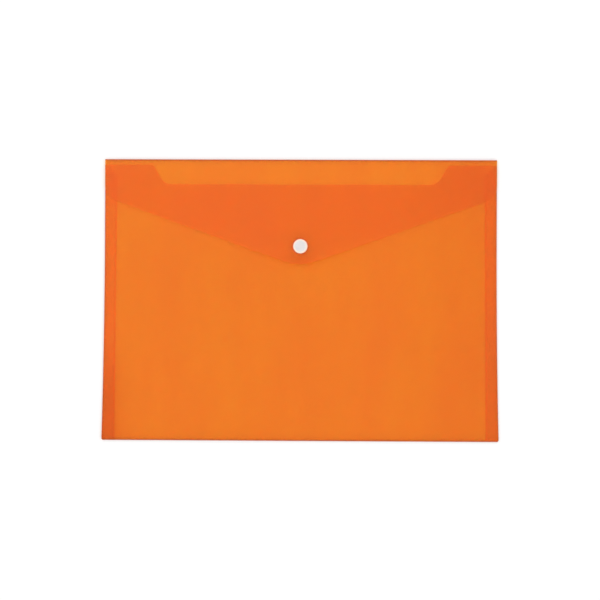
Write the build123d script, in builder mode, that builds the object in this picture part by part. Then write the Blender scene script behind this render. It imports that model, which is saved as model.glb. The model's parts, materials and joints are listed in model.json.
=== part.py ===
from build123d import *

import os

# Press-stud document wallet in thin polypropylene sheet, lying closed on its back.
#
# Units are millimetres. +X runs across the wallet, +Y from the bottom fold up to the top crease,
# and +Z out of the front. The origin is the centre of the footprint, on the face that rests on
# the table.
#
# One die-cut sheet makes the whole wallet. Its panels are separate pieces here, split at the
# creases where the sheet bends. A press stud holds the flap down: the cap and the socket grip the
# flap between them, the stud and its own cap grip the front panel, and each cap's prong is
# riveted over inside its mate.

# Plan of the wallet
HEIGHT = 237.0  # over the bottom fold and the top crease
WIDTH = 330.2  # over the straight part of the sides
BOTTOM_WIDTH = 335.0  # at the bottom fold, where the sides have flared out
FLARE_TOP = 60.0  # y at which the flare begins
TOP = HEIGHT / 2
BOTTOM = -HEIGHT / 2

# Layers, from the table up
SHEET = 0.2  # thickness of the polypropylene
FRONT_Z = 1.4  # underside of the front panel, level with the tops of the folded sides
FLAP_Z = 1.9  # underside of the flap where it leaves the top crease
FLAP_SNAP_Z = 4.85  # underside of the flap where it lies on the press stud
JOINT_GAP = 0.3  # left between two panels that turn about a crease

# Creases, each half a ring of sheet from one layer to another
BOTTOM_FOLD_R = (FRONT_Z + SHEET) / 2
BOTTOM_FOLD_Y = BOTTOM + BOTTOM_FOLD_R
SIDE_FOLD_R = FRONT_Z / 2  # from the gusset strip, which lies on the back panel
TOP_CREASE_R = (FLAP_Z + SHEET) / 2
TOP_CREASE_Y = TOP - TOP_CREASE_R

# Side gussets, folded in behind the front panel and welded to the back panel
TAB_TOP = TOP - 4.6  # top edge of the front panel's tabs and of the gussets
GUSSET_BOTTOM = BOTTOM_FOLD_Y + JOINT_GAP
GUSSET_BEVEL = 8.5  # fall of the slanting cut across the gusset's top end
WELD_TOP_HALF = 154.7  # from the middle line to the weld's inner edge at the top crease
WELD_BOTTOM_HALF = 156.5  # and at the bottom fold
WELD = 1.6
WELD_HEIGHT = 0.25

# Mouth of the pocket, cut down into the front panel's top edge between two tabs
MOUTH_Y = 97.5
MOUTH_TOP_HALF = 124.5
MOUTH_BOTTOM_HALF = 115.0
MOUTH_ROUND = 10.0
TAB_ROUND = 5.0

# Flap
FLAP_SIDE_END = 86.8  # y where the straight side and the slanting edge would meet
FLAP_SIDE_ROUND = 13.0
FLAP_APEX = 28.0  # y where the two slanting edges would meet
FLAP_TONGUE_ROUND = 40.0
FLAP_LEVEL_Y = 56.0  # the flap climbs from the crease to this line, and lies level below it

# Press stud
SNAP_Y = 45.4
CAP_R = 6.2
CAP_HEIGHT = 1.6
CAP_FLAT_R = 4.4
CAP_RIM = 0.5
PRONG_R = 1.1
PRONG_CLEARANCE = 0.1
RIVET_R = 1.6
RIVET_HEIGHT = 0.45
STUD_CAP_HEIGHT = 1.0
STUD_CAP_FLAT_R = 5.2
STUD_CAP_RIM = 0.4
FLANGE_R = 5.1
FLANGE_HEIGHT = 0.6
STUD_HEIGHT = 2.0  # over the flange's lower face
STUD_NECK_R = 2.35
STUD_NECK = 0.3
STUD_BULB_R = 2.65
STUD_TIP_R = 2.3
STUD_RECESS_R = 1.85
STUD_RECESS = 0.7
SOCKET_R = 5.2
SOCKET_HEIGHT = 2.5
SOCKET_WEB = 0.6
SOCKET_LIP_R = 2.85
SOCKET_LIP = 0.5
SOCKET_GROOVE_R = 3.05
SPRING_RING_R = 3.7
MOAT_R = 4.3  # the moat sets the spring ring free from the socket's wall
SLOTS = 6  # slots across the spring ring
SLOT = 0.5
EDGE_ROUND = 0.2

# Heights of the press stud's parts
FRONT_TOP_Z = FRONT_Z + SHEET
FLAP_TOP_Z = FLAP_SNAP_Z + SHEET
STUD_TOP_Z = FRONT_TOP_Z + STUD_HEIGHT
STUD_SEAT_Z = STUD_TOP_Z - STUD_RECESS
SOCKET_MOUTH_Z = FLAP_SNAP_Z - SOCKET_HEIGHT
SOCKET_WEB_Z = FLAP_SNAP_Z - SOCKET_WEB
PRONG_HOLE_R = PRONG_R + PRONG_CLEARANCE

SNAP_PLANE = Plane.XZ.offset(-SNAP_Y)  # sketched as radius across and height up
SNAP_AXIS = Axis((0, SNAP_Y, 0), (0, 0, 1))


def side_path():
    """The right-hand side of the wallet, from the top down: straight, then flaring out."""
    with BuildLine() as path:
        straight = Line((WIDTH / 2, TOP), (WIDTH / 2, FLARE_TOP))
        TangentArc(straight @ 1, (BOTTOM_WIDTH / 2, BOTTOM), tangent=straight % 1)
    return path.wires()[0]


def outline(low, high, inset=0.0):
    """The wallet's plan between two heights, brought in by inset on both sides."""
    with BuildSketch() as plan:
        with BuildLine():
            straight = Line((WIDTH / 2 - inset, TOP), (WIDTH / 2 - inset, FLARE_TOP))
            flare_end = (BOTTOM_WIDTH / 2 - inset, BOTTOM)
            TangentArc(straight @ 1, flare_end, tangent=straight % 1)
            Line((0, TOP), straight @ 0)
            Line(flare_end, (0, BOTTOM))
            mirror(about=Plane.YZ)
        make_face()
        with Locations((0, (low + high) / 2)):
            Rectangle(2 * BOTTOM_WIDTH, high - low, mode=Mode.INTERSECT)
    return plan.sketch


def half_ring(centre, radius, start):
    """Half a ring of sheet about centre, running anticlockwise from the angle start."""
    with BuildSketch() as ring:
        with BuildLine():
            outer = CenterArc(centre, radius, start, 180)
            inner = CenterArc(centre, radius - SHEET, start, 180)
            Line(outer @ 0, inner @ 0)
            Line(outer @ 1, inner @ 1)
        make_face()
    return ring.sketch


def gusset_area(inset=0.0):
    """The right-hand gusset's plan: out from the weld's inner edge and in from it by inset."""
    with BuildSketch() as area:
        with BuildLine():
            Polyline(
                (WELD_TOP_HALF + inset, TOP),
                (BOTTOM_WIDTH, TOP),
                (BOTTOM_WIDTH, BOTTOM),
                (WELD_BOTTOM_HALF + inset, BOTTOM),
                close=True,
            )
        make_face()
        with BuildLine():
            Polyline(
                (0, GUSSET_BOTTOM),
                (BOTTOM_WIDTH, GUSSET_BOTTOM),
                (BOTTOM_WIDTH, TAB_TOP),
                (WIDTH / 2, TAB_TOP),
                (WELD_TOP_HALF, TAB_TOP - GUSSET_BEVEL),
                (0, TAB_TOP - GUSSET_BEVEL),
                close=True,
            )
        make_face(mode=Mode.INTERSECT)
    return area.sketch


os.makedirs("parts", exist_ok=True)

# ------------------------------------------------------------ back panel and creases

with BuildPart() as back_panel:
    with BuildSketch(Plane.XY):
        add(outline(BOTTOM_FOLD_Y, TOP_CREASE_Y))
    extrude(amount=SHEET)
back_panel.part.label = "back_panel"
export_step(back_panel.part, "parts/back_panel.step")

with BuildPart() as bottom_fold:
    with BuildSketch(Plane.YZ):
        add(half_ring((BOTTOM_FOLD_Y, BOTTOM_FOLD_R), BOTTOM_FOLD_R, 90))
    extrude(amount=BOTTOM_WIDTH / 2, both=True)
bottom_fold.part.label = "bottom_fold"
export_step(bottom_fold.part, "parts/bottom_fold.step")

with BuildPart() as top_crease:
    with BuildSketch(Plane.YZ):
        add(half_ring((TOP_CREASE_Y, TOP_CREASE_R), TOP_CREASE_R, -90))
    extrude(amount=WIDTH / 2, both=True)
top_crease.part.label = "top_crease"
export_step(top_crease.part, "parts/top_crease.step")

# ------------------------------------------------------------ side gussets and their welds

FOLD_CENTRE = (WIDTH / 2 - SIDE_FOLD_R, SHEET + SIDE_FOLD_R)

with BuildPart() as right_side_fold:
    with BuildSketch(Plane.XZ.offset(-TOP)):
        add(half_ring(FOLD_CENTRE, SIDE_FOLD_R, -90))
    sweep(path=side_path())
    with BuildSketch(Plane.XY):
        add(gusset_area())
    extrude(amount=FRONT_TOP_Z, mode=Mode.INTERSECT)
right_side_fold.part.label = "right_side_fold"
export_step(right_side_fold.part, "parts/right_side_fold.step")

with BuildPart() as right_gusset:
    with BuildSketch(Plane.XY.offset(SHEET)):
        add(outline(GUSSET_BOTTOM, TAB_TOP, inset=SIDE_FOLD_R))
        add(gusset_area(inset=WELD), mode=Mode.INTERSECT)
    extrude(amount=SHEET)
right_gusset.part.label = "right_gusset"
export_step(right_gusset.part, "parts/right_gusset.step")

with BuildPart() as right_weld_seam:
    with BuildSketch(Plane.XY.offset(SHEET)):
        add(gusset_area())
        add(gusset_area(inset=WELD), mode=Mode.SUBTRACT)
    extrude(amount=WELD_HEIGHT)
right_weld_seam.part.label = "right_weld_seam"
export_step(right_weld_seam.part, "parts/right_weld_seam.step")

with BuildPart() as left_side_fold:
    mirror(right_side_fold.part, about=Plane.YZ)
left_side_fold.part.label = "left_side_fold"
export_step(left_side_fold.part, "parts/left_side_fold.step")

with BuildPart() as left_gusset:
    mirror(right_gusset.part, about=Plane.YZ)
left_gusset.part.label = "left_gusset"
export_step(left_gusset.part, "parts/left_gusset.step")

with BuildPart() as left_weld_seam:
    mirror(right_weld_seam.part, about=Plane.YZ)
left_weld_seam.part.label = "left_weld_seam"
export_step(left_weld_seam.part, "parts/left_weld_seam.step")

# ------------------------------------------------------------ front panel

with BuildPart() as front_panel:
    with BuildSketch(Plane.XY.offset(FRONT_Z)):
        add(outline(BOTTOM_FOLD_Y + JOINT_GAP, TAB_TOP, inset=SIDE_FOLD_R + JOINT_GAP))
        with BuildLine():
            Polyline(
                (-MOUTH_TOP_HALF, TAB_TOP),
                (-MOUTH_BOTTOM_HALF, MOUTH_Y),
                (MOUTH_BOTTOM_HALF, MOUTH_Y),
                (MOUTH_TOP_HALF, TAB_TOP),
                close=True,
            )
        make_face(mode=Mode.SUBTRACT)
        mouth = vertices().filter_by_position(Axis.Y, MOUTH_Y - 1, MOUTH_Y + 1)
        fillet(mouth, MOUTH_ROUND)
        tabs = vertices().filter_by_position(Axis.Y, TAB_TOP - 1, TAB_TOP + 1)
        fillet(tabs.filter_by_position(Axis.X, -WELD_TOP_HALF, WELD_TOP_HALF), TAB_ROUND)
    extrude(amount=SHEET)
    with Locations((0, SNAP_Y, FRONT_TOP_Z)):
        Hole(PRONG_HOLE_R)
front_panel.part.label = "front_panel"
export_step(front_panel.part, "parts/front_panel.step")

# ------------------------------------------------------------ flap

with BuildPart() as flap:
    with BuildSketch(Plane.YZ):
        with BuildLine():
            lower = Polyline(
                (TOP_CREASE_Y - JOINT_GAP, FLAP_Z),
                (FLAP_LEVEL_Y, FLAP_SNAP_Z),
                (0, FLAP_SNAP_Z),
            )
            upper = Polyline(
                (TOP_CREASE_Y - JOINT_GAP, FLAP_Z + SHEET),
                (FLAP_LEVEL_Y, FLAP_TOP_Z),
                (0, FLAP_TOP_Z),
            )
            Line(lower @ 0, upper @ 0)
            Line(lower @ 1, upper @ 1)
        make_face()
    extrude(amount=WIDTH / 2, both=True)
    with BuildSketch(Plane.XY):
        with BuildLine():
            Polyline(
                (0, TOP),
                (WIDTH / 2, TOP),
                (WIDTH / 2, FLAP_SIDE_END),
                (0, FLAP_APEX),
            )
            mirror(about=Plane.YZ)
        make_face()
        fillet(vertices().group_by(Axis.Y)[1], FLAP_SIDE_ROUND)
        fillet(vertices().group_by(Axis.Y)[0], FLAP_TONGUE_ROUND)
    extrude(amount=FLAP_TOP_Z, mode=Mode.INTERSECT)
    with Locations((0, SNAP_Y, FLAP_TOP_Z)):
        Hole(PRONG_HOLE_R)
flap.part.label = "flap"
export_step(flap.part, "parts/flap.step")

# ------------------------------------------------------------ press stud, upper half

with BuildPart() as snap_cap:
    with BuildSketch(SNAP_PLANE):
        with BuildLine():
            crown = Line((0, FLAP_TOP_Z + CAP_HEIGHT), (CAP_FLAT_R, FLAP_TOP_Z + CAP_HEIGHT))
            TangentArc(crown @ 1, (CAP_R, FLAP_TOP_Z + CAP_RIM), tangent=crown % 1)
            Polyline(
                (CAP_R, FLAP_TOP_Z + CAP_RIM),
                (CAP_R, FLAP_TOP_Z),
                (PRONG_R, FLAP_TOP_Z),
                (PRONG_R, SOCKET_WEB_Z),
                (RIVET_R, SOCKET_WEB_Z),
                (RIVET_R, SOCKET_WEB_Z - RIVET_HEIGHT),
                (0, SOCKET_WEB_Z - RIVET_HEIGHT),
                crown @ 0,
            )
        make_face()
    revolve(axis=SNAP_AXIS)
    fillet(faces().sort_by(Axis.Z)[0].edges(), EDGE_ROUND)
snap_cap.part.label = "snap_cap"
export_step(snap_cap.part, "parts/snap_cap.step")

with BuildPart() as snap_socket:
    with BuildSketch(SNAP_PLANE):
        with BuildLine():
            Polyline(
                (PRONG_HOLE_R, FLAP_SNAP_Z),
                (SOCKET_R, FLAP_SNAP_Z),
                (SOCKET_R, SOCKET_MOUTH_Z),
                (MOAT_R, SOCKET_MOUTH_Z),
                (MOAT_R, SOCKET_WEB_Z),
                (SPRING_RING_R, SOCKET_WEB_Z),
                (SPRING_RING_R, SOCKET_MOUTH_Z),
                (SOCKET_LIP_R, SOCKET_MOUTH_Z),
                (SOCKET_LIP_R, SOCKET_MOUTH_Z + SOCKET_LIP),
                (SOCKET_GROOVE_R, SOCKET_MOUTH_Z + 2 * SOCKET_LIP),
                (SOCKET_GROOVE_R, SOCKET_WEB_Z),
                (PRONG_HOLE_R, SOCKET_WEB_Z),
                close=True,
            )
        make_face()
        fillet(vertices().sort_by_distance((SOCKET_R, SOCKET_MOUTH_Z))[0], EDGE_ROUND)
    revolve(axis=SNAP_AXIS)
    with BuildSketch(Plane.XY.offset(SOCKET_MOUTH_Z)):
        with Locations((0, SNAP_Y)):
            with PolarLocations((SOCKET_LIP_R + SPRING_RING_R) / 2, SLOTS):
                Rectangle(MOAT_R - SOCKET_LIP_R, SLOT)
    extrude(amount=SOCKET_WEB_Z - SOCKET_MOUTH_Z, mode=Mode.SUBTRACT)
snap_socket.part.label = "snap_socket"
export_step(snap_socket.part, "parts/snap_socket.step")

# ------------------------------------------------------------ press stud, lower half

NECK_TOP_Z = FRONT_TOP_Z + FLANGE_HEIGHT + STUD_NECK

with BuildPart() as snap_stud:
    with BuildSketch(SNAP_PLANE):
        with BuildLine():
            bulb = ThreePointArc(
                (STUD_NECK_R, NECK_TOP_Z),
                (STUD_BULB_R, (NECK_TOP_Z + STUD_TOP_Z) / 2),
                (STUD_TIP_R, STUD_TOP_Z),
            )
            Polyline(
                bulb @ 1,
                (STUD_RECESS_R, STUD_TOP_Z),
                (STUD_RECESS_R, STUD_SEAT_Z),
                (PRONG_HOLE_R, STUD_SEAT_Z),
                (PRONG_HOLE_R, FRONT_TOP_Z),
                (FLANGE_R, FRONT_TOP_Z),
                (FLANGE_R, FRONT_TOP_Z + FLANGE_HEIGHT),
                (STUD_NECK_R, FRONT_TOP_Z + FLANGE_HEIGHT),
                bulb @ 0,
            )
        make_face()
    revolve(axis=SNAP_AXIS)
snap_stud.part.label = "snap_stud"
export_step(snap_stud.part, "parts/snap_stud.step")

with BuildPart() as stud_cap:
    with BuildSketch(SNAP_PLANE):
        with BuildLine():
            base = Line((0, FRONT_Z - STUD_CAP_HEIGHT), (STUD_CAP_FLAT_R, FRONT_Z - STUD_CAP_HEIGHT))
            TangentArc(base @ 1, (CAP_R, FRONT_Z - STUD_CAP_RIM), tangent=base % 1)
            Polyline(
                (CAP_R, FRONT_Z - STUD_CAP_RIM),
                (CAP_R, FRONT_Z),
                (PRONG_R, FRONT_Z),
                (PRONG_R, STUD_SEAT_Z),
                (RIVET_R, STUD_SEAT_Z),
                (RIVET_R, STUD_SEAT_Z + RIVET_HEIGHT),
                (0, STUD_SEAT_Z + RIVET_HEIGHT),
                base @ 0,
            )
        make_face()
    revolve(axis=SNAP_AXIS)
    fillet(faces().sort_by(Axis.Z)[-1].edges(), EDGE_ROUND)
stud_cap.part.label = "stud_cap"
export_step(stud_cap.part, "parts/stud_cap.step")
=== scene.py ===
import json
import math

import bpy
import numpy as np
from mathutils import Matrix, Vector


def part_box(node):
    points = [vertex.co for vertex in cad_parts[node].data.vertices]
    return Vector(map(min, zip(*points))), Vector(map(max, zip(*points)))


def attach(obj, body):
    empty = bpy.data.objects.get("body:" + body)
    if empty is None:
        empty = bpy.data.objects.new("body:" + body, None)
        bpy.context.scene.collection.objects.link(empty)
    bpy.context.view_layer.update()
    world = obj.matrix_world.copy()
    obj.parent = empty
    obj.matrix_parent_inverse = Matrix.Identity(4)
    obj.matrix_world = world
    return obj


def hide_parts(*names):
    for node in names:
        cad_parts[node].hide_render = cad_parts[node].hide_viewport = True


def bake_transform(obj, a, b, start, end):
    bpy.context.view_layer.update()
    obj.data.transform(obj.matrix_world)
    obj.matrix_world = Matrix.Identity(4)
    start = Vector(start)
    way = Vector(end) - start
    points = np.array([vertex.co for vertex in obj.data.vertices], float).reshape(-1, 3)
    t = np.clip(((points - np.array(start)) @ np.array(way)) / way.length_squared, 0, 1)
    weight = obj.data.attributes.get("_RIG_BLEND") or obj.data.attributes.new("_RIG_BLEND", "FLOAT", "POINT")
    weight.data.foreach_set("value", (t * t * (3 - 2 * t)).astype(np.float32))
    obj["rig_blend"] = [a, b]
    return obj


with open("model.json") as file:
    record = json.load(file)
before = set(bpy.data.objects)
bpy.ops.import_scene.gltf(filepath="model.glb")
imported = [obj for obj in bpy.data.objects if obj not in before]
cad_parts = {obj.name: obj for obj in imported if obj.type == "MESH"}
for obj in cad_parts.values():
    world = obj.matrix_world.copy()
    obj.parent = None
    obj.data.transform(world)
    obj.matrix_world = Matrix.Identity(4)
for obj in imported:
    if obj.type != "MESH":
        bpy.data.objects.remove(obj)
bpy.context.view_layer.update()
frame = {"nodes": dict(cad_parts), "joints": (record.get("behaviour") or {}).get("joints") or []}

# The looks of a document wallet in frosted orange polypropylene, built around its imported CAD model.
# Everything is in metres. +X runs across the wallet, +Y up to its top crease, +Z out of its front.

MM = 0.001

# ---------------------------------------------------------------- sizes read from the frame

BACK_LOW, BACK_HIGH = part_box("back_panel")
FRONT_LOW, FRONT_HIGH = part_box("front_panel")
FLAP_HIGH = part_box("flap")[1]
CREASE_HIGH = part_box("top_crease")[1]
FOLD_LOW, FOLD_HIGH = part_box("bottom_fold")
CAP_LOW, CAP_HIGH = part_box("snap_cap")
AXIS = {joint["name"]: Vector(joint["pos_m"]) for joint in frame["joints"]}

SHEET = BACK_HIGH.z - BACK_LOW.z  # the film's thickness
HALF_TOP = CREASE_HIGH.x
HALF_BOTTOM = FOLD_HIGH.x
BOTTOM = FOLD_LOW.y
BACK_Z = SHEET / 2
FRONT_Z = (FRONT_LOW.z + FRONT_HIGH.z) / 2
FLAP_SNAP_Z = FLAP_HIGH.z - SHEET / 2
SNAP_Y = (CAP_LOW.y + CAP_HIGH.y) / 2
CREASE_Y, CREASE_Z = AXIS["flap_hinge"].y, AXIS["flap_hinge"].z
BOTTOM_Y, BOTTOM_Z = AXIS["front_panel_hinge"].y, AXIS["front_panel_hinge"].z
STRIP_Z = 3 * SHEET / 2  # the gusset strips lie on the back panel, one thickness up
CREASE_R = CREASE_Z - SHEET / 2  # fold radii, to the middle of the sheet
BOTTOM_R = BOTTOM_Z - SHEET / 2
SIDE_R = (FRONT_Z - STRIP_Z) / 2
TAB_TOP = FRONT_HIGH.y

# ---------------------------------------------------------------- sizes of the cut edges

FLARE_TOP = 60 * MM  # below this the sides flare out
WELD_TOP_HALF = 154.7 * MM  # from the middle line to the welds' inner edges
WELD_BOTTOM_HALF = 156.5 * MM
MOUTH_Y = 97.5 * MM  # height of the cut-down mouth
MOUTH_TOP = 124.5 * MM  # from the middle line to the top and the foot of its slanting sides
MOUTH_FOOT = 115 * MM
MOUTH_ROUND = 10 * MM
TAB_ROUND = 5 * MM
BEVEL = 8.5 * MM  # fall of the slanting cut across a gusset's top end
FLAP_SIDE_END = 86.8 * MM  # where the flap's edges, drawn on, would meet its sides and each other
FLAP_APEX = 28 * MM
FLAP_SLOPE = (FLAP_SIDE_END - FLAP_APEX) / HALF_TOP
FLAP_SIDE_ROUND = 13 * MM
TONGUE_ROUND = 40 * MM


def half_width(y):
    """Half the wallet's width at y: straight, then flaring out on a large arc."""
    fall = FLARE_TOP - BOTTOM
    spread = HALF_BOTTOM - HALF_TOP
    radius = (spread**2 + fall**2) / (2 * spread)
    drop = np.maximum(FLARE_TOP - y, 0)
    return HALF_TOP + radius - np.sqrt(radius**2 - drop**2)


def weld_half(y):
    """From the middle line to the inner edge of the welds at y."""
    share = (y - BOTTOM) / (CREASE_HIGH.y - BOTTOM)
    return WELD_BOTTOM_HALF + (WELD_TOP_HALF - WELD_BOTTOM_HALF) * share


def smooth(low, high, value):
    """0 below low, 1 above high, and a smooth step between them."""
    share = np.clip((value - low) / (high - low), 0, 1)
    return share * share * (3 - 2 * share)


# ---------------------------------------------------------------- how the sheets lie

SNAP_FLAT = 7 * MM  # the film is flat this far round the press stud

RIPPLE_X, RIPPLE_SLANT, RIPPLE_Y = 13.5 * MM, 29 * MM, 24 * MM  # lengths of the film's soft waves
WANDER_X, WANDER_SLANT, WANDER_Y = 70 * MM, 60 * MM, 41 * MM  # lengths over which they wander

FRONT_PUFF, FRONT_WAVE = 0.75 * MM, 0.3 * MM  # how far the front panel bellies out and waves
PUFF_FROM_SIDE, PUFF_FROM_BOTTOM, PUFF_FROM_SNAP = 38 * MM, 26 * MM, 55 * MM
MOUTH_FLAT_FROM, MOUTH_FLAT_SHARE = 60 * MM, 0.75  # towards the mouth the belly goes down again

BACK_WAVE = 0.1 * MM
BACK_EDGE, BACK_INSIDE, BACK_END = 14 * MM, 60 * MM, 30 * MM  # where its waves begin
BACK_RIPPLE_SHIFT, FLAP_RIPPLE_SHIFT = 30 * MM, -20 * MM  # so that the sheets' waves differ

FLAP_REST = 0.42 * MM  # from the middle of the front panel to the middle of the flap lying on it
FLAP_WAVE = 0.1 * MM
FLAP_WAVE_TOP, FLAP_WAVE_SNAP = 20 * MM, 40 * MM  # where its waves begin
SNAP_REACH_X, SNAP_REACH_UP, SNAP_REACH_DOWN = 62 * MM, 46 * MM, 60 * MM
HUMP_FALL, HUMP_POWER = 1.7, 1.6  # shape of the hump over the press stud
HUMP_FADE, BELLY_FADE = 45 * MM, 18 * MM  # over these lengths both die out at the crease
CREASE_FALL = 9 * MM  # over this length the flap comes down off the crease


def ripple(x, y):
    """Long soft waves, -1 to 1, running mostly up and down the sheet."""
    return (
        0.5 * np.sin(x / RIPPLE_X + 1.3 * np.sin(y / WANDER_X) + 0.4)
        + 0.3 * np.sin(x / RIPPLE_SLANT - y / WANDER_SLANT + 2.1)
        + 0.2 * np.sin(y / RIPPLE_Y + 0.9 * np.sin(x / WANDER_Y) + 1.0)
    )


def from_snap(x, y):
    """Distance from the press stud's axis."""
    return np.hypot(x, y - SNAP_Y)


def front_z(x, y):
    """Middle of the front panel: level at its folds and on the stud, gently bellied between."""
    inward = smooth(0, PUFF_FROM_SIDE, half_width(y) - SIDE_R - np.abs(x))
    inward *= smooth(0, PUFF_FROM_BOTTOM, y - BOTTOM_Y)
    off_snap = smooth(SNAP_FLAT, PUFF_FROM_SNAP, from_snap(x, y))
    near_top = 1 - MOUTH_FLAT_SHARE * smooth(MOUTH_FLAT_FROM, TAB_TOP, y)
    return FRONT_Z + inward * off_snap * near_top * (FRONT_PUFF + FRONT_WAVE * ripple(x, y))


def back_z(x, y):
    """Middle of the back panel, which lies almost flat."""
    inward = smooth(BACK_EDGE, BACK_INSIDE, half_width(y) - np.abs(x))
    inward *= smooth(0, BACK_END, y - BOTTOM_Y) * smooth(0, BACK_END, CREASE_Y - y)
    return BACK_Z + inward * BACK_WAVE * (1 + ripple(x + BACK_RIPPLE_SHIFT, y))


def flap_z(x, y):
    """Middle of the flap: off the crease, resting on the front panel, and held up by the snap."""
    below_crease = CREASE_Y - y
    lift = FLAP_SNAP_Z - FRONT_Z - FLAP_REST
    reach = np.where(y > SNAP_Y, SNAP_REACH_UP, SNAP_REACH_DOWN)
    away = np.hypot(x / SNAP_REACH_X, (y - SNAP_Y) / reach)
    away = np.maximum(away - SNAP_FLAT / SNAP_REACH_X, 0)
    hump = lift * np.exp(-HUMP_FALL * away**HUMP_POWER) * smooth(0, HUMP_FADE, below_crease)
    drop = CREASE_Z + CREASE_R - FRONT_Z - FLAP_REST
    crease_gap = drop * np.exp(-below_crease / CREASE_FALL)
    wave = FLAP_WAVE * (1 + ripple(x + FLAP_RIPPLE_SHIFT, y)) * smooth(0, FLAP_WAVE_TOP, below_crease)
    wave *= smooth(SNAP_FLAT, FLAP_WAVE_SNAP, from_snap(x, y))
    belly = (front_z(x, y) - FRONT_Z) * smooth(0, BELLY_FADE, below_crease)
    return FRONT_Z + belly + FLAP_REST + hump + crease_gap + wave


# ---------------------------------------------------------------- cut edges, as heights over x

FOLD_LOOK = math.radians(25)


def corner_round(x, corner_x, corner_y, slope_in, slope_out, radius):
    """Height at x of a corner between two straight edges, rounded with the given radius."""
    turn_in, turn_out = math.atan(slope_in), math.atan(slope_out)
    side = math.copysign(1, turn_out - turn_in)
    reach = radius * math.tan(abs(turn_out - turn_in) / 2)
    start = corner_x - reach * math.cos(turn_in)
    end = corner_x + reach * math.cos(turn_out)
    centre_x = start - side * radius * math.sin(turn_in)
    centre_y = corner_y - (corner_x - start) * slope_in + side * radius * math.cos(turn_in)
    bow = centre_y - side * np.sqrt(np.maximum(radius**2 - (x - centre_x) ** 2, 0))
    straight = corner_y + np.where(x < corner_x, slope_in, slope_out) * (x - corner_x)
    return np.where((x > start) & (x < end), bow, straight)


def flap_edge(x):
    """The flap's free edge: rounded tongue, slanting edge and rounded shoulder."""
    x = np.abs(x)
    edge = corner_round(x, 0, FLAP_APEX, -FLAP_SLOPE, FLAP_SLOPE, TONGUE_ROUND)
    stretch = math.hypot(1, FLAP_SLOPE)
    centre_x = HALF_TOP - FLAP_SIDE_ROUND
    centre_y = FLAP_APEX + FLAP_SLOPE * centre_x + FLAP_SIDE_ROUND * stretch
    bow = centre_y - np.sqrt(np.maximum(FLAP_SIDE_ROUND**2 - (x - centre_x) ** 2, 0))
    return np.where(x > centre_x + FLAP_SIDE_ROUND * FLAP_SLOPE / stretch, bow, edge)


def front_edge(x):
    """The front panel's top edge: tabs at the sides and the cut-down mouth between them."""
    x = np.abs(x)
    slope = (TAB_TOP - MOUTH_Y) / (MOUTH_TOP - MOUTH_FOOT)
    middle = (MOUTH_TOP + MOUTH_FOOT) / 2
    foot = corner_round(x, MOUTH_FOOT, MOUTH_Y, 0, slope, MOUTH_ROUND)
    tab = corner_round(x, MOUTH_TOP, TAB_TOP, slope, 0, TAB_ROUND)
    return np.where(x < middle, foot, tab)


def fold_share(turns):
    """How much of a fold's look a point has: none at the fold's two ends, and all a little way in."""
    return smooth(0, FOLD_LOOK, math.pi / 2 - np.abs(turns))


# ---------------------------------------------------------------- mesh building

SHEET_SHARP, LATHE_SHARP = 35, 30  # degrees


def spans(*stops):
    """Values from the first stop on, each further stop being (value, number of steps to it)."""
    values = [stops[0]]
    for value, steps in stops[1:]:
        values.extend(np.linspace(values[-1], value, steps + 1)[1:])
    return np.array(values)


def both_sides(half):
    """The same values on the left and on the right of the middle line."""
    return np.concatenate([-half[:0:-1], half])


def shade_smooth(mesh, sharp_deg):
    """Smooth shading, with edges sharper than the angle left crisp."""
    mesh.shade_smooth()
    mesh.set_sharp_from_angle(angle=math.radians(sharp_deg))


def make_object(name, verts, faces):
    mesh = bpy.data.meshes.new(name)
    mesh.from_pydata(verts, [], faces)
    mesh.validate()
    piece = bpy.data.objects.new(name, mesh)
    bpy.context.scene.collection.objects.link(piece)
    return piece


def sheet_piece(name, grid, cells, flat, values):
    """A closed sheet about the middle surface in grid, where cells says which quads exist.

    flat holds each point's place on the uncut plastic, kept as a UV map, and values named numbers
    for each point, kept as attributes that the materials and the bending read.
    """
    rows, columns = grid.shape[:2]
    index = np.arange(rows * columns).reshape(rows, columns)
    around = [index[:-1, :-1], index[:-1, 1:], index[1:, 1:], index[1:, :-1]]
    quads = np.stack(around, axis=-1)[cells]
    used, quads = np.unique(quads, return_inverse=True)
    quads = quads.reshape(-1, 4)
    points = grid.reshape(-1, 3)[used]
    place = flat.reshape(-1, 2)[used]
    corner = points[quads]
    face_normal = np.cross(corner[:, 2] - corner[:, 0], corner[:, 3] - corner[:, 1])
    normal = np.zeros_like(points)
    for k in range(4):
        np.add.at(normal, quads[:, k], face_normal)
    normal /= np.linalg.norm(normal, axis=1, keepdims=True)
    count = len(points)
    verts = np.concatenate([points + normal * SHEET / 2, points - normal * SHEET / 2])
    directed = {(a, b) for quad in quads.tolist() for a, b in zip(quad, quad[1:] + quad[:1])}
    rim = [(b, a, a + count, b + count) for a, b in sorted(directed) if (b, a) not in directed]
    faces = quads.tolist() + (quads[:, ::-1] + count).tolist() + rim
    piece = make_object(name, verts.tolist(), faces)
    mesh = piece.data
    loops = np.zeros(len(mesh.loops), int)
    mesh.loops.foreach_get("vertex_index", loops)
    uv = mesh.uv_layers.new(name="flat")
    uv.data.foreach_set("uv", place[loops % count].ravel())
    for key, value in values.items():
        attribute = mesh.attributes.new(key, "FLOAT", "POINT")
        spread = np.broadcast_to(value, (rows, columns)).reshape(-1)[used]
        attribute.data.foreach_set("value", np.tile(spread, 2).astype(np.float32))
    shade_smooth(mesh, SHEET_SHARP)
    return piece


def set_blend(piece, weight_name):
    """Takes the piece's bending weights from one of its own attributes."""
    mesh = piece.data
    weights = np.zeros(len(mesh.vertices), np.float32)
    mesh.attributes[weight_name].data.foreach_get("value", weights)
    mesh.attributes["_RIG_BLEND"].data.foreach_set("value", weights)
    mesh.attributes.remove(mesh.attributes[weight_name])


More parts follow.
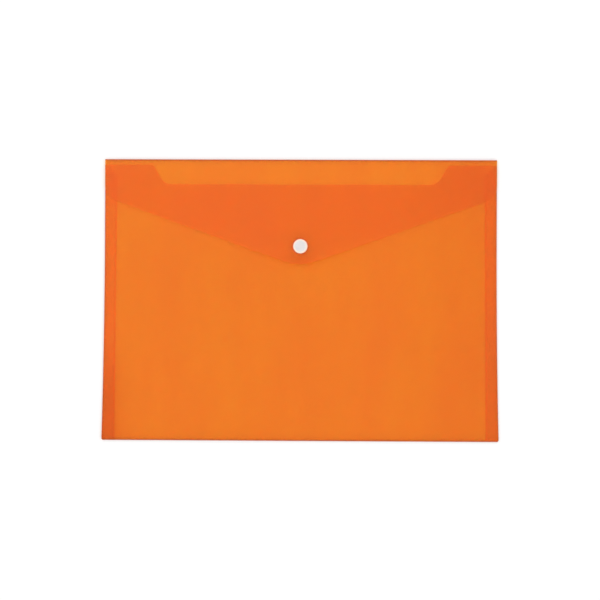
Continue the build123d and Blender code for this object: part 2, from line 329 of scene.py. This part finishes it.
def lathe(name, profile, centre, steps=96):
    """A turned piece about a vertical axis: profile is (radius, height) from axis to axis."""
    verts, rings = [], []
    for radius, height in profile:
        if radius == 0:
            rings.append([len(verts)])
            verts.append((centre[0], centre[1], height))
            continue
        rings.append(list(range(len(verts), len(verts) + steps)))
        for k in range(steps):
            turn = 2 * math.pi * k / steps
            verts.append((centre[0] + radius * math.cos(turn), centre[1] + radius * math.sin(turn), height))
    faces = []
    for inner, outer in zip(rings, rings[1:]):
        for k in range(steps):
            a, b = inner[k % len(inner)], inner[(k + 1) % len(inner)]
            c, d = outer[(k + 1) % len(outer)], outer[k % len(outer)]
            face = list(dict.fromkeys((a, d, c, b)))
            if len(face) > 2:
                faces.append(face)
    piece = make_object(name, verts, faces)
    shade_smooth(piece.data, LATHE_SHARP)
    return piece


def arc(centre, radius, start_deg, end_deg, steps):
    """Points on an arc in a lathe's profile, both ends included."""
    turns = np.radians(np.linspace(start_deg, end_deg, steps + 1))
    return [(centre[0] + radius * math.cos(t), centre[1] + radius * math.sin(t)) for t in turns]


# ---------------------------------------------------------------- materials


def new_material(name):
    material = bpy.data.materials.new(name)
    material.use_nodes = True
    tree = material.node_tree
    tree.nodes.clear()
    return material, tree


def node(tree, kind, inputs=None, **settings):
    """A node with its settings, its sockets filled from values or linked from other sockets."""
    made = tree.nodes.new(kind)
    for key, value in settings.items():
        setattr(made, key, value)
    for key, value in (inputs or {}).items():
        if isinstance(value, bpy.types.NodeSocket):
            tree.links.new(value, made.inputs[key])
        else:
            made.inputs[key].default_value = value
    return made


def maths(tree, operation, a, b):
    return node(tree, "ShaderNodeMath", {0: a, 1: b}, operation=operation).outputs[0]


def noise(tree, where, scale, detail=2.0, roughness=0.5):
    inputs = {"Vector": where, "Scale": scale, "Detail": detail, "Roughness": roughness}
    return node(tree, "ShaderNodeTexNoise", inputs).outputs["Fac"]


def ramp(tree, value, low, high, to_low, to_high):
    inputs = {"Value": value, "From Min": low, "From Max": high, "To Min": to_low, "To Max": to_high}
    return node(tree, "ShaderNodeMapRange", inputs, clamp=True).outputs[0]


def mixed_colour(tree, share, first, second):
    made = node(tree, "ShaderNodeMix", data_type="RGBA")
    for socket, value in ((0, share), (6, first), (7, second)):
        if isinstance(value, bpy.types.NodeSocket):
            tree.links.new(value, made.inputs[socket])
        else:
            made.inputs[socket].default_value = value
    return made.outputs[2]


CLEAR_TINT = (0.997, 0.96, 0.60, 1)  # what goes straight through one face
CLEAR_TINT_BACK = (0.96, 0.965, 0.61, 1)  # the same in the back panel, which looks duller on the table
CLEAR_TINT_SHADED = (0.93, 0.72, 0.34, 1)  # the same under painted shade
BODY = (0.99, 0.33, 0.085, 1)  # the pigment's own colour
# the pigment's colour under painted shade
BODY_SHADED = (0.78, 0.16, 0.025, 1)
BODY_FOLD = (0.66, 0.17, 0.035, 1)  # seen along the sheet, where it turns over a fold
GLOW = (1.0, 0.30, 0.04, 1)  # light scattered through

FILM_SOLID, WELD_SOLID = 0.27, 0.46  # the share of light that one face scatters
CLOUD_SPREAD, SPECKLE_SPREAD, FOLD_SOLID = 0.022, 0.012, 0.5  # what is added to that share
CLOUD_STRETCH = (22, 7, 1)  # soft clouds, longer up and down than across
SPECKLE_SCALE, GRAIN_SCALE = 420.0, 1700.0
CLOUD_LOW, CLOUD_HIGH = 0.25, 0.75  # between these lie most values of a soft noise
NOISE_LOW, NOISE_HIGH = 0.3, 0.7  # and of a finer one
FILM_ROUGHNESS = (0.36, 0.50)
GRAIN_BUMP, GRAIN_DEPTH = 0.22, 0.04 * MM
SPECKLE_BUMP, SPECKLE_DEPTH = 0.35, 0.25 * MM
POLYPROPYLENE_IOR = 1.49
RING_SHADOW_IN, RING_SHADOW_OUT = 6.0 * MM, 6.9 * MM  # painted contact shadow: a ring on the film round the cap's edge
RING_SHADOW_RISE, RING_SHADOW_FALL, RING_SHADOW_LOOK = 0.3 * MM, 0.4 * MM, 0.8


def painted_ring_shadow(tree, flat):
    """A painted contact shadow in a ring round the press stud, under the cap's edge."""
    snap = {0: flat, 1: (0, SNAP_Y, 0)}
    away = node(tree, "ShaderNodeVectorMath", snap, operation="DISTANCE").outputs["Value"]
    inner = ramp(tree, away, RING_SHADOW_IN - RING_SHADOW_RISE, RING_SHADOW_IN, 0, RING_SHADOW_LOOK)
    outer = ramp(tree, away, RING_SHADOW_OUT - RING_SHADOW_FALL, RING_SHADOW_OUT, 1, 0)
    return maths(tree, "MULTIPLY", inner, outer)


def film_material(name, solid, clear_tint=CLEAR_TINT, with_ring_shadow=False):
    """Frosted polypropylene: part of the light passes straight, the rest is scattered."""
    material, tree = new_material(name)
    flat = node(tree, "ShaderNodeUVMap", uv_map="flat").outputs[0]
    stretched = node(tree, "ShaderNodeMapping", {"Vector": flat, "Scale": CLOUD_STRETCH}).outputs[0]
    clouds = noise(tree, stretched, 1.0, detail=3.0, roughness=0.45)
    grain = noise(tree, flat, GRAIN_SCALE, detail=2.0, roughness=0.6)
    speckle = noise(tree, flat, SPECKLE_SCALE, detail=3.0, roughness=0.55)
    # painted shade, read from the sheets' attribute, darkens the pigment, the glow and the straight-through
    # tint
    painted_shade = node(tree, "ShaderNodeAttribute", attribute_name="painted_shade").outputs["Fac"]
    fold = node(tree, "ShaderNodeAttribute", attribute_name="fold").outputs["Fac"]
    # the painted ring shadow goes in with the fold's darker colour and denser scatter
    if with_ring_shadow:
        fold = maths(tree, "ADD", fold, painted_ring_shadow(tree, flat))
    cloudy = ramp(tree, clouds, CLOUD_LOW, CLOUD_HIGH, -CLOUD_SPREAD, CLOUD_SPREAD)
    speckled = ramp(tree, speckle, NOISE_LOW, NOISE_HIGH, -SPECKLE_SPREAD, SPECKLE_SPREAD)
    density = maths(tree, "ADD", cloudy, solid)
    density = maths(tree, "ADD", density, speckled)
    density = maths(tree, "ADD", density, ramp(tree, fold, 0, 1, 0, FOLD_SOLID))
    roughness = ramp(tree, grain, NOISE_LOW, NOISE_HIGH, *FILM_ROUGHNESS)
    fine = {"Strength": GRAIN_BUMP, "Distance": GRAIN_DEPTH, "Height": grain}
    fine_bump = node(tree, "ShaderNodeBump", fine).outputs[0]
    broad = {"Strength": SPECKLE_BUMP, "Distance": SPECKLE_DEPTH, "Height": speckle, "Normal": fine_bump}
    bump = node(tree, "ShaderNodeBump", broad).outputs[0]
    colour = mixed_colour(tree, fold, mixed_colour(tree, painted_shade, BODY, BODY_SHADED), BODY_FOLD)
    finish = {"Base Color": colour, "Roughness": roughness, "IOR": POLYPROPYLENE_IOR, "Normal": bump}
    skin = node(tree, "ShaderNodeBsdfPrincipled", finish)
    through = mixed_colour(tree, fold, mixed_colour(tree, painted_shade, GLOW, BODY_SHADED), BODY_FOLD)
    glow = node(tree, "ShaderNodeBsdfTranslucent", {"Color": through})
    scatter = node(tree, "ShaderNodeMixShader", {0: 0.5, 1: skin.outputs[0], 2: glow.outputs[0]})
    tint = mixed_colour(tree, painted_shade, clear_tint, CLEAR_TINT_SHADED)
    clear = node(tree, "ShaderNodeBsdfTransparent", {"Color": tint})
    both = node(tree, "ShaderNodeMixShader", {0: density, 1: clear.outputs[0], 2: scatter.outputs[0]})
    node(tree, "ShaderNodeOutputMaterial", {"Surface": both.outputs[0]})
    return material


MOULD_ROUGHNESS = (0.29, 0.41)
MOULD_CLOUD_SCALE, MOULD_FINE_SCALE = 260.0, 2600.0
MOULD_BUMP, MOULD_DEPTH = 0.15, 0.03 * MM
MOULD_CLOUD_DARK = 0.95
MOULD_IOR = 1.48
RIM_LIGHT_FROM, RIM_LIGHT_FULL = 4.3 * MM, 5.2 * MM  # radii between which the rim's painted highlight comes in
SNAP_COLOUR = (0.72, 0.69, 0.68, 1)
CAP_COLOUR = (0.73, 0.69, 0.68, 1)
# painted highlight on the cap's rim, warmed by painted orange light from the film
CAP_RIM_HIGHLIGHT = (0.93, 0.77, 0.64, 1)


def moulded_material(name, colour, rim=None):
    """White moulded plastic: faint clouding, a satin skin and the slight unevenness of a tool.

    rim, where given, is a painted highlight towards a cap's edge, warmed by painted orange light from the
    film.
    """
    material, tree = new_material(name)
    place = node(tree, "ShaderNodeTexCoord").outputs["Object"]
    clouds = noise(tree, place, MOULD_CLOUD_SCALE)
    fine = noise(tree, place, MOULD_FINE_SCALE)
    darker = tuple(channel * MOULD_CLOUD_DARK for channel in colour[:3]) + (1,)
    base = mixed_colour(tree, ramp(tree, clouds, NOISE_LOW, NOISE_HIGH, 0, 1), colour, darker)
    # painted highlight and orange bounce light towards the cap's edge
    if rim:
        axis = {0: place, 1: (1, 1, 0)}
        level = node(tree, "ShaderNodeVectorMath", axis, operation="MULTIPLY").outputs[0]
        centre = {0: level, 1: (0, SNAP_Y, 0)}
        away = node(tree, "ShaderNodeVectorMath", centre, operation="DISTANCE").outputs["Value"]
        base = mixed_colour(tree, ramp(tree, away, RIM_LIGHT_FROM, RIM_LIGHT_FULL, 0, 1), base, rim)
    uneven = {"Strength": MOULD_BUMP, "Distance": MOULD_DEPTH, "Height": fine}
    finish = {
        "Base Color": base,
        "Roughness": ramp(tree, fine, NOISE_LOW, NOISE_HIGH, *MOULD_ROUGHNESS),
        "IOR": MOULD_IOR,
        "Subsurface Weight": 0.15,
        "Subsurface Radius": (1.0, 0.9, 0.8),
        "Subsurface Scale": 0.8 * MM,
        "Normal": node(tree, "ShaderNodeBump", uneven).outputs[0],
    }
    skin = node(tree, "ShaderNodeBsdfPrincipled", finish)
    node(tree, "ShaderNodeOutputMaterial", {"Surface": skin.outputs[0]})
    return material


FILM = film_material("film_orange", FILM_SOLID)
BACK_FILM = film_material("film_back", FILM_SOLID, CLEAR_TINT_BACK)
FLAP_FILM = film_material("film_ring_shadow", FILM_SOLID, with_ring_shadow=True)
WELD_FILM = film_material("film_welded", WELD_SOLID)
SNAP_WHITE = moulded_material("snap_white", SNAP_COLOUR)
CAP_WHITE = moulded_material("cap_white", CAP_COLOUR, CAP_RIM_HIGHLIGHT)

# ---------------------------------------------------------------- back panel

# In each sheet, spans() sets the mesh's lines: closer where the sheet bends or an edge turns.
BACK_END_ROWS = 12 * MM


def back_sheet():
    """The back panel, lying on the table between the bottom fold and the top crease."""
    across = both_sides(spans(0, (0.9, 40), (1, 8)))
    low, high = BOTTOM_Y + BACK_END_ROWS, CREASE_Y - BACK_END_ROWS
    up = spans(BOTTOM_Y, (low, 5), (high, 62), (CREASE_Y, 5))
    y = np.repeat(up[:, None], len(across), 1)
    x = across[None, :] * half_width(y)
    grid = np.stack([x, y, back_z(x, y)], axis=-1)
    cells = np.ones((len(up) - 1, len(across) - 1), bool)
    piece = sheet_piece("back_sheet", grid, cells, np.stack([x, y], axis=-1), {"painted_shade": 0.0})
    piece.data.materials.append(BACK_FILM)
    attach(piece, "back")
    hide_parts("back_panel")


# ---------------------------------------------------------------- flap and top crease

CRESCENT_SHADE = 0.2  # painted shade on the tongue just below the press stud, where the flap stands off the front panel
CRESCENT_BELOW, CRESCENT_REACH_X, CRESCENT_REACH_Y = 11.5 * MM, 12 * MM, 5 * MM


def flap_sheet():
    """The flap, from the back panel's top edge over the crease and down to its rounded tongue."""
    shoulder = np.radians(np.linspace(90 - math.degrees(math.atan(1 / FLAP_SLOPE)), 90, 11))
    half = spans(0, (10 * MM, 8), (34 * MM, 12), (HALF_TOP - FLAP_SIDE_ROUND, 36))
    half = np.concatenate([half, HALF_TOP - FLAP_SIDE_ROUND * (1 - np.sin(shoulder))])
    across = both_sides(half)
    turns = np.radians(np.linspace(-90, 90, 15))[:-1]
    down = spans(0, (0.12, 8), (1, 42))
    x = np.repeat(across[None, :], len(turns) + len(down), 0)
    crease_y = CREASE_Y + CREASE_R * np.cos(turns)
    crease_z = CREASE_Z + CREASE_R * np.sin(turns)
    edge = flap_edge(across)
    flap_y = CREASE_Y + down[:, None] * (edge - CREASE_Y)[None, :]
    flap_x = x[: len(down)]
    ones = np.ones(len(across))
    y = np.concatenate([crease_y[:, None] * ones, flap_y])
    z = np.concatenate([crease_z[:, None] * ones, flap_z(flap_x, flap_y)])
    turned = np.concatenate([(turns + math.pi / 2) / math.pi, np.ones(len(down))])
    length = np.concatenate([CREASE_R * (turns - math.pi / 2), np.zeros(len(down))])[:, None]
    flat_y = np.where(length < 0, CREASE_Y - length, y)
    grid = np.stack([x, y, z], axis=-1)[::-1]
    creased = np.concatenate([fold_share(turns), np.zeros(len(down))])[:, None]
    # painted shade: a crescent below the stud, plus the right-hand side's painted shade
    off_crescent = (y - SNAP_Y + CRESCENT_BELOW) / CRESCENT_REACH_Y
    crescent = np.exp(-((x / CRESCENT_REACH_X) ** 2) - off_crescent**2)
    values = {
        "painted_shade": (CRESCENT_SHADE * crescent + right_shade(x))[::-1],
        "fold": (creased * ones)[::-1],
        "turned": (turned[:, None] * ones)[::-1],
    }
    cells = np.ones((grid.shape[0] - 1, grid.shape[1] - 1), bool)
    flat = np.stack([x, flat_y + np.zeros_like(x)], axis=-1)[::-1]
    piece = sheet_piece("flap_sheet", grid, cells, flat, values)
    piece.data.materials.append(FLAP_FILM)
    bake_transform(piece, "back", "flap", start=(0, CREASE_Y, 0), end=(0, CREASE_Y, 2 * CREASE_Z))
    set_blend(piece, "turned")
    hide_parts("flap", "top_crease")


# ---------------------------------------------------------------- front panel, folds and gussets

SIDE_SHARE = 0.2  # how far the side folds follow the front panel when it lifts
LIFT_WIDTH = 120 * MM  # from the sides to where the front sheet lifts all the way

RIGHT_SHADE, RIGHT_FROM = 0.09, 50 * MM  # painted shade darkening the right-hand side, and where it begins
CORNER_LEFT = (-95 * MM, -25 * MM)  # heights between which a bottom corner's painted shade fades
CORNER_RIGHT = (-110 * MM, 60 * MM)
CORNER_RIGHT_LEAST = 0.12
STRIP_SHADE = 0.24  # painted shade in a gusset strip at a bottom corner
BESIDE_SHADE, BESIDE_FADE = 0.22, 6 * MM  # painted shade on the panel beside it
POCKET_SHADE, WELD_BLUR = 0.1, 2 * MM  # painted shade in the pocket between the welds
FOLD_SHADE, FOLD_FADE = 0.1, 2.2 * MM  # painted shade along the bottom fold


def front_columns():
    """Places across the right-hand half of the front panel, as shares of its half width."""
    notch = spans(0, (30 * MM, 12), (98 * MM, 21), (106 * MM, 4), (130 * MM, 34), (154 * MM, 10))
    return np.concatenate([notch / HALF_TOP, spans(156 * MM / HALF_TOP, (1, 5))])


def front_sheet():
    """The front panel with its bottom fold, side folds and the gusset strips behind it."""
    panel = front_columns()
    fold = np.radians(np.linspace(90, -90, 13))[1:]
    strip = spans(0, (1, 6))[1:]  # across a gusset strip, from its side fold to its weld
    under = np.radians(np.linspace(-270, -90, 13))[:-1]
    rise = spans(0, (0.02, 5), (0.1, 6), (1, 74))
    rows, half = len(under) + len(rise), len(panel) + len(fold) + len(strip)
    turned, lying = slice(0, len(under)), slice(len(under), rows)
    panels = slice(0, len(panel))
    folds = slice(len(panel), len(panel) + len(fold))
    strips = slice(len(panel) + len(fold), half)

    top = np.full(half, TAB_TOP)
    top[panels] = front_edge(panel * (HALF_TOP - SIDE_R))
    top[strips] -= BEVEL * strip
    y = np.empty((rows, half))
    y[lying] = BOTTOM_Y + rise[:, None] * (top - BOTTOM_Y)
    y[turned] = (BOTTOM_Y + BOTTOM_R * np.cos(under))[:, None]
    side = half_width(y) - SHEET / 2 - SIDE_R
    x = side.copy()
    x[:, panels] *= panel
    x[:, folds] += SIDE_R * np.cos(fold)
    x[:, strips] -= (side - weld_half(y))[:, strips] * strip
    z = np.empty((rows, half))
    z[:, panels] = front_z(x, y)[:, panels]
    z[turned, panels] = (BOTTOM_Z + BOTTOM_R * np.sin(under))[:, None]
    z[:, folds] = STRIP_Z + SIDE_R * (1 + np.sin(fold))
    z[:, strips] = STRIP_Z

    flat_x, flat_y = x.copy(), y.copy()
    flat_x[:, folds] = side[:, folds] + SIDE_R * (math.pi / 2 - fold)
    flat_x[:, strips] = (2 * side - x)[:, strips] + SIDE_R * math.pi
    flat_y[turned] = (BOTTOM_Y - BOTTOM_R * (-under - math.pi / 2))[:, None]

    creased = np.zeros((rows, half))
    creased[:, folds] = fold_share(fold)
    creased[turned] = fold_share(under + math.pi)[:, None]
    moved = np.zeros((rows, half))
    inward = smooth(0, LIFT_WIDTH, side - x)
    moved[:, panels] = (SIDE_SHARE + (1 - SIDE_SHARE) * inward)[:, panels]
    moved[:, folds] = SIDE_SHARE * (0.5 + 0.5 * np.sin(fold)) ** 0.5
    moved[turned] *= (np.arange(len(under)) / len(under))[:, None]

    def whole(values, sign=1):
        return np.concatenate([sign * values[:, :0:-1], values], axis=1)

    grid = np.stack([whole(x, -1), whole(y), whole(z)], axis=-1)
    inside = slice(half - len(panel), half + len(panel) - 1)
    grid[lying, inside, 2] = front_z(grid[lying, inside, 0], grid[lying, inside, 1])
    cells = np.ones((rows - 1, 2 * half - 2), bool)
    cells[turned, : half - len(panel)] = False
    cells[turned, half + len(panel) - 2 :] = False
    values = {
        "painted_shade": front_shade(grid[..., 0], grid[..., 1], grid[..., 2]),
        "fold": whole(creased),
        "moved": whole(moved),
    }
    flat = np.stack([whole(flat_x, -1), whole(flat_y)], axis=-1)
    piece = sheet_piece("front_sheet", grid, cells, flat, values)
    piece.data.materials.append(FILM)
    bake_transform(piece, "back", "front", start=(0, BOTTOM_Y, 0), end=(0, BOTTOM_Y, 2 * BOTTOM_Z))
    set_blend(piece, "moved")
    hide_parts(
        "front_panel",
        "bottom_fold",
        "left_side_fold",
        "right_side_fold",
        "left_gusset",
        "right_gusset",
    )


def right_shade(x):
    """Painted shade making the right-hand side slightly darker."""
    return RIGHT_SHADE * smooth(RIGHT_FROM, HALF_TOP, x)


def front_shade(x, y, z):
    """Painted shade: darker at the bottom corners, along the bottom fold, beside the left weld, in the
    pocket between the welds and on the right-hand side.
    """
    low_left = (1 - smooth(*CORNER_LEFT, y)) * (x < 0)
    low_right = CORNER_RIGHT_LEAST + (1 - CORNER_RIGHT_LEAST) * (1 - smooth(*CORNER_RIGHT, y))
    low_right = low_right * (x > 0)
    strip = z < FRONT_Z - 2 * SHEET
    off_weld = weld_half(y) - np.abs(x)
    beside = np.exp(-np.maximum(off_weld, 0) / BESIDE_FADE)
    shade = POCKET_SHADE * smooth(-WELD_BLUR, WELD_BLUR, off_weld) + right_shade(x)
    shade = shade + FOLD_SHADE * np.exp(-(y - BOTTOM_Y) / FOLD_FADE) + BESIDE_SHADE * beside * low_left
    return np.where(strip, STRIP_SHADE * low_left + STRIP_SHADE * low_right, shade)


# ---------------------------------------------------------------- welds

MARK_LENGTH = 1.5 * MM  # one raised mark of the welding tool
MARK_WIDTH = 1.1 * MM
MARK_PITCH = 2.1 * MM
MARK_RISE, MARK_SINK = 0.14 * MM, 0.01 * MM  # out of the strip's face, and into it
MARK_SHOULDER, MARK_BEVEL = 0.6, 0.18 * MM  # upright share of the rise, and the bevel above it
MARK_INSET = 0.25 * MM  # from the strip's inner edge


def weld_seam(name, node_name, side):
    """The welding tool's row of raised marks along a gusset's inner edge."""
    low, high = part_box(node_name)
    base = 2 * SHEET - MARK_SINK
    corners = ((-1, -1), (1, -1), (1, 1), (-1, 1))
    levels = ((0, 0), (0, MARK_SHOULDER * MARK_RISE), (MARK_BEVEL, MARK_RISE))
    verts, faces = [], []
    y = low.y + MARK_PITCH
    while y < high.y - MARK_PITCH:
        start = len(verts)
        for inset, height in levels:
            for dx, dy in corners:
                py = y + dy * (MARK_LENGTH / 2 - inset)
                middle = weld_half(py) + MARK_INSET + MARK_WIDTH / 2
                px = side * (middle + side * dx * (MARK_WIDTH / 2 - inset))
                verts.append((px, py, base + height))
        for ring in (0, 4):
            for k in range(4):
                a, b = start + ring + k, start + ring + (k + 1) % 4
                faces.append((a, b, b + 4, a + 4))
        faces.append((start + 8, start + 9, start + 10, start + 11))
        faces.append((start + 3, start + 2, start + 1, start))
        y += MARK_PITCH
    piece = make_object(name, verts, faces)
    mesh = piece.data
    uv = mesh.uv_layers.new(name="flat")
    for loop in mesh.loops:
        co = mesh.vertices[loop.vertex_index].co
        uv.data[loop.index].uv = (co.x, co.y)
    piece.data.materials.append(WELD_FILM)
    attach(piece, "back")
    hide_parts(node_name)


# ---------------------------------------------------------------- press stud

CAP_TRIM = 0.15 * MM  # the moulded cap's radius is this much smaller than its CAD solid's
CAP_RIM_ROUND, CAP_FOOT_ROUND = 1.05 * MM, 0.15 * MM
CAP_FOOT_LINE = 0.18 * MM  # a mesh line just above the foot's rounding
DISH_DEPTH = 0.14 * MM
DISH_FLAT = (1.5, 3.0, 3.9)  # radii in mm of the dish's level rings
DISH_RISE = ((4.3, 0.02), (4.6, 0.08), (4.85, 0.125))  # radius and rise in mm up to the rim
PRONG_R, RIVET_R = 1.1 * MM, 1.6 * MM
RIVET_HEIGHT, RIVET_ROUND, RIVET_BEVEL = 0.45 * MM, 0.2 * MM, 0.1 * MM
PUNCH_R, PUNCH_DEPTH = 0.5 * MM, 0.06 * MM  # the riveting punch's mark


def snap_cap():
    """The white cap on the flap: a rolled rim round a shallow dish, with its riveted prong below."""
    radius = (CAP_HIGH.x - CAP_LOW.x) / 2 - CAP_TRIM
    top, seat, tip = CAP_HIGH.z, FLAP_HIGH.z, CAP_LOW.z
    rivet_top = tip + RIVET_HEIGHT
    dish = top - DISH_DEPTH
    foot = (radius - CAP_FOOT_ROUND, seat + CAP_FOOT_ROUND)
    profile = [(0, dish)]
    profile += [(ring * MM, dish) for ring in DISH_FLAT]
    profile += [(ring * MM, dish + rise * MM) for ring, rise in DISH_RISE]
    profile += arc((radius - CAP_RIM_ROUND, top - CAP_RIM_ROUND), CAP_RIM_ROUND, 90, 0, 10)
    profile += [(radius, seat + CAP_FOOT_LINE)]
    profile += arc(foot, CAP_FOOT_ROUND, 0, -90, 4)
    profile += [(PRONG_R, seat), (PRONG_R, rivet_top), (RIVET_R - RIVET_BEVEL, rivet_top)]
    profile += arc((RIVET_R - RIVET_ROUND, tip + RIVET_ROUND), RIVET_ROUND, 0, -90, 4)
    profile += [(PUNCH_R, tip), (0, tip + PUNCH_DEPTH)]
    piece = lathe("snap_cap_white", profile, (0, SNAP_Y))
    piece.data.materials.append(CAP_WHITE)
    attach(piece, "flap")
    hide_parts("snap_cap")


def finish_cad_parts():
    """The hidden halves of the press stud keep their CAD shapes and get the moulded plastic."""
    for name in ("snap_socket", "snap_stud", "stud_cap"):
        mesh = frame["nodes"][name].data
        mesh.materials.clear()
        mesh.materials.append(SNAP_WHITE)


# ---------------------------------------------------------------- stage, light and camera

FLOOR_Z = -0.12 * MM
FLOOR_HALF = 4.0
FLOOR_WHITE = (0.93, 0.93, 0.93, 1)
SKY_STRENGTH = 0.9
KEY_PLACE, KEY_SIDE, KEY_ENERGY = (-0.62, 0.5, 1.6), 0.9, 5.4
FILL_PLACE, FILL_SIDE, FILL_ENERGY = (1.2, -0.5, 1.4), 1.4, 4.6
VIEW_WIDTH = 506.3 * MM  # how wide the picture is at the wallet
VIEW_X, VIEW_Y = -0.15 * MM, 0.35 * MM  # its middle
LENS, SENSOR = 85.0, 36.0  # millimetres of the camera, as Blender counts them
ROLL, YAW = 0.25, 0.83  # degrees: how far the camera is turned, and stands to the right


def stage():
    corners = [(-1, -1), (1, -1), (1, 1), (-1, 1)]
    verts = [(side * FLOOR_HALF, end * FLOOR_HALF, FLOOR_Z) for side, end in corners]
    floor = make_object("floor", verts, [(0, 1, 2, 3)])
    material, tree = new_material("floor_white")
    skin = node(tree, "ShaderNodeBsdfDiffuse", {"Color": FLOOR_WHITE})
    node(tree, "ShaderNodeOutputMaterial", {"Surface": skin.outputs[0]})
    floor.data.materials.append(material)


def area_light(name, place, side, energy):
    """A square soft light, aimed at the middle of the wallet."""
    light = bpy.data.lights.new(name, "AREA")
    light.shape = "SQUARE"
    light.size = side
    light.energy = energy
    lamp = bpy.data.objects.new(name, light)
    lamp.location = place
    lamp.rotation_euler = (-Vector(place)).to_track_quat("-Z", "Y").to_euler()
    bpy.context.scene.collection.objects.link(lamp)


def set_lights():
    world = bpy.data.worlds.new("studio")
    world.use_nodes = True
    sky = world.node_tree.nodes["Background"].inputs
    sky["Color"].default_value = (1, 1, 1, 1)
    sky["Strength"].default_value = SKY_STRENGTH
    bpy.context.scene.world = world
    area_light("key", KEY_PLACE, KEY_SIDE, KEY_ENERGY)
    area_light("fill", FILL_PLACE, FILL_SIDE, FILL_ENERGY)


def set_camera():
    scene = bpy.context.scene
    camera = bpy.data.cameras.new("camera")
    camera.lens, camera.sensor_width = LENS, SENSOR
    seat = bpy.data.objects.new("camera", camera)
    distance = VIEW_WIDTH * LENS / SENSOR
    yaw = math.radians(YAW)
    seat.location = (VIEW_X + distance * math.sin(yaw), VIEW_Y, distance * math.cos(yaw))
    seat.rotation_euler = (0, yaw, math.radians(ROLL))
    scene.collection.objects.link(seat)
    scene.camera = seat


def set_light_paths():
    """Plain colours, and enough bounces for light to pass through all the layers and back."""
    scene = bpy.context.scene
    scene.view_settings.view_transform = "Standard"
    scene.cycles.max_bounces = 16
    scene.cycles.diffuse_bounces = 10
    scene.cycles.transparent_max_bounces = 32


back_sheet()
flap_sheet()
front_sheet()
weld_seam("left_weld", "left_weld_seam", -1)
weld_seam("right_weld", "right_weld_seam", 1)
snap_cap()
finish_cad_parts()
stage()
set_lights()
set_camera()
set_light_paths()
